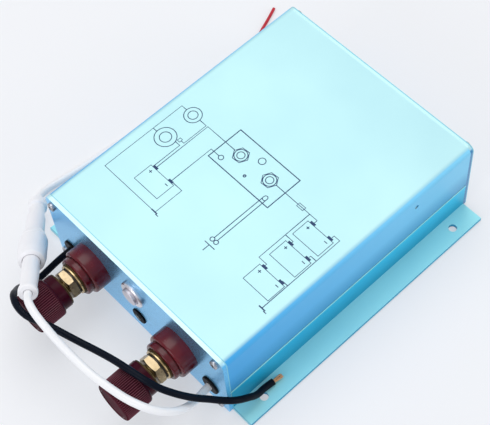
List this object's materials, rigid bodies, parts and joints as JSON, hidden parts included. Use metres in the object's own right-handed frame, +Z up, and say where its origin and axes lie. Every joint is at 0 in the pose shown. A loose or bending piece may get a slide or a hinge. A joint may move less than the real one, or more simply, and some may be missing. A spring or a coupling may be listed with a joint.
{
  "type": "battery isolator relay",
  "caption": "Battery isolator relay: flanged blue metal box with capped stud terminals, push button, lamp, ground wire and a switch cable with an in-line connector.",
  "frame": {"origin": "centre of the four mounting holes, on the underside", "axes": "+X to the right seen from the terminals, +Y from the terminals to the rear, +Z up"},
  "size_m": [0.2005, 0.2633, 0.058],
  "materials": {
    "case_upper": "satin blue anodised",
    "case_lower": "satin blue anodised",
    "end_plates": "satin blue anodised",
    "plate_screws": "nickel plated",
    "phenolic": "moulded, semi-gloss",
    "insulator": "moulded",
    "stud_brass": "turned",
    "washer_dark": "dull",
    "washer_brass": "bright",
    "spring_steel": "plain",
    "nut_brass": "bright",
    "button_chrome": "polished",
    "button_face": "satin",
    "black_plastic": "moulded",
    "lamp_lens": "dark lens",
    "grommet_rubber": "matt",
    "wire_black": "satin sheath",
    "copper_strands": "tinned ends",
    "cable_white": "satin sheath",
    "connector_white": "moulded",
    "core_red": "sheath",
    "board_green": "solder mask",
    "board_parts": "moulded",
    "relay_steel": "zinc plated",
    "bobbin_plastic": "moulded",
    "winding_copper": "enamelled wire",
    "busbar_copper": "bare copper",
    "wire_inner": "sheath"
  },
  "bodies": {
    "housing": {"upper_shell": "case_upper", "lower_shell": "case_lower", "front_plate": "end_plates", "rear_plate": "end_plates", "front_plate_screws": "plate_screws", "rear_plate_screws": "plate_screws", "left_post_base": "phenolic", "right_post_base": "phenolic", "left_rear_insulator": "insulator", "right_rear_insulator": "insulator", "left_stud": "stud_brass", "right_stud": "stud_brass", "left_thin_washer": "washer_dark", "right_thin_washer": "washer_dark", "left_flat_washer": "washer_brass", "right_flat_washer": "washer_brass", "left_lock_washer": "spring_steel", "right_lock_washer": "spring_steel", "left_post_nut": "nut_brass", "right_post_nut": "nut_brass", "left_back_nut": "nut_brass", "right_back_nut": "nut_brass", "button_housing": "button_chrome", "button_nut": "button_chrome", "button_spring": "spring_steel", "button_switch_block": "black_plastic", "lamp_holder": "black_plastic", "lamp_lens": "lamp_lens", "lamp_nut": "black_plastic", "left_grommet": "grommet_rubber", "right_grommet": "grommet_rubber", "ground_wire": "wire_black", "ground_wire_end": "copper_strands", "switch_cable_inner": "cable_white", "connector_socket": "connector_white", "connector_plug": "connector_white", "switch_cable_outer": "cable_white", "red_core": "core_red", "black_core": "wire_black", "circuit_board": "board_green", "board_components": "board_parts", "relay_frame": "relay_steel", "relay_screws": "relay_steel", "coil_bobbin": "bobbin_plastic", "coil_winding": "winding_copper", "return_spring": "spring_steel", "left_busbar": "busbar_copper", "right_busbar": "busbar_copper", "inner_wiring": "wire_inner"},
    "button": {"button_cap": "button_face"},
    "left_cap_ring": {"left_cap_washer": "washer_brass"},
    "left_cap_grip": {"left_cap": "phenolic", "left_cap_insert": "stud_brass"},
    "right_cap_ring": {"right_cap_washer": "washer_brass"},
    "right_cap_grip": {"right_cap": "phenolic", "right_cap_insert": "stud_brass"},
    "armature": {"plunger": "relay_steel", "contact_bridge": "busbar_copper"},
    "coupling": {"connector_ring": "connector_white"}
  },
  "joints": [
    {"name": "button_press", "type": "slide", "parent": "housing", "child": "button", "axis": [0, 1, 0], "range_m": [0, 0.0015], "stiffness_N_per_m": 400, "springref_m": -0.002, "deforming": ["button_spring"]},
    {"name": "relay_pull_in", "type": "slide", "parent": "housing", "child": "armature", "axis": [0, -1, 0], "range_m": [0, 0.002], "stiffness_N_per_m": 700, "springref_m": -0.003, "deforming": ["return_spring"]},
    {"name": "left_cap_travel", "type": "slide", "parent": "housing", "child": "left_cap_ring", "axis": [0, -1, 0], "range_m": [-0.0015, 0.009]},
    {"name": "left_cap_turn", "type": "hinge", "parent": "left_cap_ring", "child": "left_cap_grip", "pos_m": [-0.036, -0.125, 0.0282], "axis": [0, -1, 0], "range_deg": [-361, 2161]},
    {"name": "right_cap_travel", "type": "slide", "parent": "housing", "child": "right_cap_ring", "axis": [0, -1, 0], "range_m": [-0.0015, 0.009]},
    {"name": "right_cap_turn", "type": "hinge", "parent": "right_cap_ring", "child": "right_cap_grip", "pos_m": [0.036, -0.125, 0.0282], "axis": [0, -1, 0], "range_deg": [-361, 2161]},
    {"name": "connector_ring_turn", "type": "hinge", "parent": "housing", "child": "coupling", "pos_m": [-0.06505, -0.11471, 0.03069], "axis": [-0.7158, 0.5388, -0.4443], "range_deg": [0, 270]}
  ],
  "couplings": [
    {"joint": "left_cap_turn", "follows": "left_cap_travel", "rad_per_m": 4188.8},
    {"joint": "right_cap_turn", "follows": "right_cap_travel", "rad_per_m": 4188.8}
  ]
}
